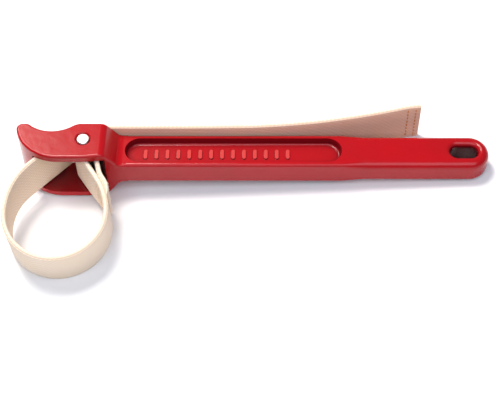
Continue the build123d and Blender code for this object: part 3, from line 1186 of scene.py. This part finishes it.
@dataclass
class Strap:
    """The strap, in the five stretches that move, and its two seams."""

    sizes: StrapSizes
    finish: bpy.types.Material
    seam_thread: bpy.types.Material
    tip_thread: bpy.types.Material
    lean: Lean
    stitch_length: float = 2.9 * MM
    thread_width: float = 1.05 * MM
    pitch: float = 3.3 * MM
    stitches: int = 8
    seated: float = 0.1 * MM  # how far the thread is pulled into the webbing
    held: float = 1 * MM  # how much of the exit the head keeps straight
    feed_keep: float = 0.43  # what the half ring keeps when the strap is drawn in

    def build(self) -> Iterable[bpy.types.Object]:
        """Makes every stretch and seam, and hangs four of them on bodies.

        Yields:
            Each finished piece.
        """
        webbing = Webbing(self.sizes, self.lean, self.finish)
        yield self.sewn_end(webbing)
        yield self.half_ring(webbing)
        yield self.leg(webbing)
        yield self.exit(webbing)
        yield self.tail(webbing)
        yield self.seam_stitches()
        yield self.tip_stitches()

    def dress(self, piece: bpy.types.Object, slot: str, *nodes: str) -> None:
        """Hides the CAD nodes that a piece stands for."""
        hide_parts(*nodes)

    def sewn_end(self, webbing: Webbing) -> bpy.types.Object:
        """Makes the flank, the eye and the folded layer as one length."""
        route = self.sizes.sewn()
        piece = webbing.make("webbing_eye", route, end=End.SKIVED)
        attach(piece, "loop")
        self.dress(piece, "webbing", "strap_eye")
        flat = (self.sizes.width, route.length)
        return piece

    def half_ring(self, webbing: Webbing) -> bpy.types.Object:
        """Makes the half ring."""
        route = self.sizes.loop()
        piece = webbing.make("webbing_loop", route)
        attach(piece, "loop")
        anchor, axis = self.lean.cut
        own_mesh(piece)
        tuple(axis)
        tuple(anchor)
        self.dress(piece, "webbing", "strap_loop")
        route.length
        return piece

    def leg(self, webbing: Webbing) -> bpy.types.Object:
        """Makes the leg, which stays wrapped in the head."""
        route = self.sizes.leg()
        piece = webbing.make("webbing_leg", route)
        wrapped = route.length - route.runs[-1].length
        (enters,), _ = route.follow(np.array([wrapped]))
        (leaves,), _ = route.follow(np.array([route.length]))
        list(enters)
        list(leaves)
        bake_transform(piece)
        self.dress(piece, "webbing", "strap_leg")
        route.length
        return piece

    def exit(self, webbing: Webbing) -> bpy.types.Object:
        """Makes the stretch where the tail leaves the head."""
        route = self.sizes.exit()
        # the right face gets the handle's painted red reflection
        piece = webbing.make("webbing_exit", route, red_bounce=Face.RIGHT)
        ends = route.start[0] + route.length
        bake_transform(piece)
        self.dress(piece, "webbing", "strap_exit")
        route.length
        return piece

    def tail(self, webbing: Webbing) -> bpy.types.Object:
        """Makes the tail."""
        route = self.sizes.tail()
        # the right face gets the handle's painted red reflection
        piece = webbing.make("webbing_tail", route, end=End.SEALED, red_bounce=Face.RIGHT)
        begins, level = route.start
        ends = begins + route.runs[0].length
        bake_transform(piece)
        self.dress(piece, "webbing", "strap_tail")
        flat = (self.sizes.width, route.length)
        return piece

    def row(self, route: Route, distance: float, face: Face) -> list[tuple[Vector, ...]]:
        """Finds the stitches of one row across the strap, which lie as the strap hangs.

        Args:
            route: the stretch that is sewn.
            distance: how far along it the row lies.
            face: which face it shows on.

        Returns:
            For each stitch its middle, the way out of the webbing and the way along it.
        """
        (middle,), (normal,) = route.follow(np.array([distance]))
        out = normal * face.value
        seat = middle + out * (self.sizes.middle - self.seated)
        spread = (np.arange(self.stitches) - (self.stitches - 1) / 2) * self.pitch
        base = np.array([[*seat, z] for z in spread])
        steps = (np.array([*out, 0.0]), np.array([0.0, 0.0, 1.0]))
        small = 0.1 * MM
        here = self.lean.place(base)
        ways = [(self.lean.place(base + step * small) - here) / small for step in steps]
        return [tuple(Vector(v) for v in found) for found in zip(here, *ways)]

    def sew(
        self, name: str, rows: list[list[tuple[Vector, ...]]], thread: bpy.types.Material
    ) -> bpy.types.Object:
        """Turns rows of stitch places into one piece of thread.

        Args:
            name: the piece's name.
            rows: the stitches of each row, as row finds them.
            thread: what it is sewn with.

        Returns:
            The new object.
        """
        places = [place for row in rows for place in row]
        mesh = bpy.data.meshes.new(name)
        mesh.from_pydata([p[0] for p in places], [], [])
        for key, index in (("out", 1), ("run", 2)):
            attribute = mesh.attributes.new(key, "FLOAT_VECTOR", "POINT")
            attribute.data.foreach_set("vector", [c for p in places for c in p[index]])
        attribute = mesh.attributes.new("marked", "BOOLEAN", "POINT")
        attribute.data.foreach_set("value", [True] * len(places))
        piece = bpy.data.objects.new(name, mesh)
        bpy.context.scene.collection.objects.link(piece)
        sizes = {"Length": self.stitch_length, "Thread": self.thread_width}
        ThreadStitches("thread_stitches", False, sizes).apply(piece, thread)
        return piece

    def seam_stitches(self) -> bpy.types.Object:
        """Sews the folded layer to the shank, on both sides."""
        route = self.sizes.sewn()
        main = route.runs[0].length + route.runs[1].length
        folded = route.length - route.runs[-1].length
        rows = []
        for reach in self.sizes.seam_rows:
            rows.append(self.row(route, main - reach, Face.LEFT))
            past = reach - self.sizes.shank_straight
            rows.append(self.row(route, folded + past, Face.LEFT))
        piece = self.sew("seam_stitches", rows, self.seam_thread)
        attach(piece, "loop")
        self.dress(piece, "thread", "seam_stitching")
        return piece

    def tip_stitches(self) -> bpy.types.Object:
        """Sews the tip of the tail so that it doesn't fray, on both faces."""
        route = self.sizes.tail()
        rows = [
            self.row(route, route.length - reach, face)
            for reach in self.sizes.tip_rows
            for face in Face
        ]
        piece = self.sew("tip_stitches", rows, self.tip_thread)
        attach(piece, "tail")
        self.dress(piece, "thread", "tip_stitching")
        return piece


# ---- the metal ------------------------------------------------------------------------------
@dataclass
class Metalwork:
    """The cast handle and its pin, whose CAD shapes are kept and dressed."""

    nodes: dict[str, bpy.types.Object]
    enamel: bpy.types.Material
    steel: bpy.types.Material

    def build(self) -> Iterable[bpy.types.Object]:
        """Gives each CAD node its finish.

        Yields:
            Each dressed node.
        """
        finishes = {"handle_casting": self.enamel, "strap_pin": self.steel}
        for name, finish in finishes.items():
            node = self.nodes[name]
            if not node.material_slots:
                node.data.materials.append(finish)
            for slot in node.material_slots:
                slot.link = "OBJECT"
                slot.material = finish
            yield node


# ---- the studio -----------------------------------------------------------------------------
@dataclass(frozen=True)
class Softbox:
    """A soft rectangular light: its place, width and height, its watts and its colour."""

    name: str
    place: tuple[float, float, float]
    size: tuple[float, float]
    power: float
    colour: str

    def hang(self, aim: Vector) -> None:
        """Adds the light to the scene, facing a point."""
        light = bpy.data.lights.new(self.name, "AREA")
        light.shape = "RECTANGLE"
        light.size, light.size_y = self.size
        light.energy = self.power
        light.color = linear(self.colour)[:3]
        lamp = bpy.data.objects.new(self.name, light)
        bpy.context.scene.collection.objects.link(lamp)
        turn = (aim - Vector(self.place)).to_track_quat("-Z", "Y").to_matrix().to_4x4()
        lamp.matrix_world = Matrix.Translation(self.place) @ turn


@dataclass
class Studio:
    """A pale floor that the wrench rests on, soft light and the camera. Angles are in degrees."""

    rests: tuple[Vector, Vector, Vector]  # where the loop, the head and the handle's end touch it
    floor_size: float = 4.0
    sky: str = "#e6edf8"
    sky_strength: float = 0.24
    softboxes: tuple[Softbox, ...] = (
        Softbox("key_softbox", (-0.22, 0.32, 1.2), (0.4, 0.34), 13.5, "#fffaf4"),
        Softbox("gleam_card", (-0.37, 0.68, 0.86), (0.26, 0.4), 6.4, "#fff3ea"),
        Softbox("fill_softbox", (0.15, -0.55, 0.95), (1.4, 0.8), 9.6, "#ecf2ff"),
    )
    lit: tuple[float, float, float] = (80.0 * MM, 20.0 * MM, 0.0)  # what the softboxes face
    target: tuple[float, float, float] = (120.0 * MM, 14.3 * MM, 0.0)  # what the camera faces
    distance: float = 816 * MM
    elevation: float = 54.0
    yaw: float = 0.8
    roll: float = -0.6
    lens: float = 93.6  # millimetres, on a sensor of the width below
    sensor: float = 36.0

    def build(self) -> None:
        """Makes the floor, the lights and the camera."""
        self.floor()
        self.lights()
        self.camera()

    def floor(self) -> None:
        """Makes the floor through the points that the wrench rests on."""
        first, second, third = self.rests
        upright = (second - first).cross(third - first).normalized()
        half = self.floor_size / 2
        corners = [(-half, -half), (half, -half), (half, half), (-half, half)]
        level = upright.dot(first)
        points = [
            (x, y, (level - upright.x * x - upright.y * y) / upright.z) for x, y in corners
        ]
        mesh = bpy.data.meshes.new("floor")
        mesh.from_pydata(points, [], [(0, 1, 2, 3)])
        mesh.materials.append(BackgroundPaper().make())
        floor = bpy.data.objects.new("floor", mesh)
        bpy.context.scene.collection.objects.link(floor)
        floor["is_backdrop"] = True

    def lights(self) -> None:
        """Adds the key, the card that gleams in the enamel, the fill and pale surroundings."""
        scene = bpy.context.scene
        scene.view_settings.view_transform = "Standard"
        world = bpy.data.worlds.new("studio")
        scene.world = world
        world.use_nodes = True
        sky = world.node_tree.nodes["Background"]
        sky.inputs["Color"].default_value = linear(self.sky)
        sky.inputs["Strength"].default_value = self.sky_strength
        for softbox in self.softboxes:
            softbox.hang(Vector(self.lit))

    def camera(self) -> None:
        """Adds the camera, which looks down on the wrench from the front."""
        rise, yaw, roll = (math.radians(a) for a in (self.elevation, self.yaw, self.roll))
        level = math.cos(rise)
        back = Vector((math.sin(yaw) * level, -math.cos(yaw) * level, math.sin(rise)))
        right = (-back).cross(Vector((0, 0, 1))).normalized()
        up = right.cross(-back)
        tilted = math.cos(roll) * right + math.sin(roll) * up
        upright = math.cos(roll) * up - math.sin(roll) * right
        lens = bpy.data.cameras.new("camera")
        lens.lens = self.lens
        lens.sensor_width = self.sensor
        lens.clip_start, lens.clip_end = 0.01, 20.0
        camera = bpy.data.objects.new("camera", lens)
        bpy.context.scene.collection.objects.link(camera)
        turn = Matrix((tilted, upright, back)).transposed().to_4x4()
        camera.matrix_world = Matrix.Translation(Vector(self.target) + back * self.distance) @ turn
        bpy.context.scene.camera = camera


@dataclass(frozen=True)
class Rest:
    """How the wrench lies on the bench: on the loop, the back of the head and the handle's end."""

    head_past_pin: float = 9.5 * MM
    head_inset: float = 1.5 * MM  # from the head's back
    grip_inset: float = 6 * MM  # from the handle's end
    grip_half: float = 8.6 * MM  # half the grip's thickness there

    def points(self, sizes: StrapSizes, lean: Lean) -> tuple[Vector, Vector, Vector]:
        """Finds the three points that the wrench lies on.

        Args:
            sizes: the strap's sizes.
            lean: how the loop hangs.

        Returns:
            Points under the near side of the loop, the back of the head and the handle's end.
        """
        near = -sizes.loop_radius - sizes.thickness
        (loop,) = lean.place(np.array([[0.0, near, -sizes.width / 2]]))
        low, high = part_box("handle_casting")
        head = Vector((sizes.pin[0] + self.head_past_pin, high.y - self.head_inset, low.z))
        grip = Vector((high.x - self.grip_inset, sizes.pin[1], -self.grip_half))
        return Vector(loop), head, grip


def main() -> None:
    """Builds the looks around the frame."""
    logging.basicConfig(level=logging.INFO, format="%(name)s: %(message)s")
    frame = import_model()
    cad_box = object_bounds()
    swing = next(j for j in frame["joints"] if j["name"] == "loop_swing")
    pin = tuple(swing["pos_m"][:2])
    lean, sizes = Lean(), StrapSizes(pin)
    Studio(Rest().points(sizes, lean)).build()
    metal = Metalwork(frame["nodes"], StovingEnamel().make(), TurnedSteel(centre=pin).make())
    pale = WaxedThread("pale_thread", "#ead8c2", "#cdb597").make()
    strap = Strap(sizes, WovenWebbing().make(), pale, WaxedThread().make(), lean)
    for assembly in (metal, strap):
        for piece in assembly.build():
            log.info("%s: %d faces", piece.name, len(piece.data.polygons))
    boxes = {"cad": cad_box, "visual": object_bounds()}
    {name: [list(corner) for corner in box] for name, box in boxes.items()}


if __name__ == "__main__":
    main()
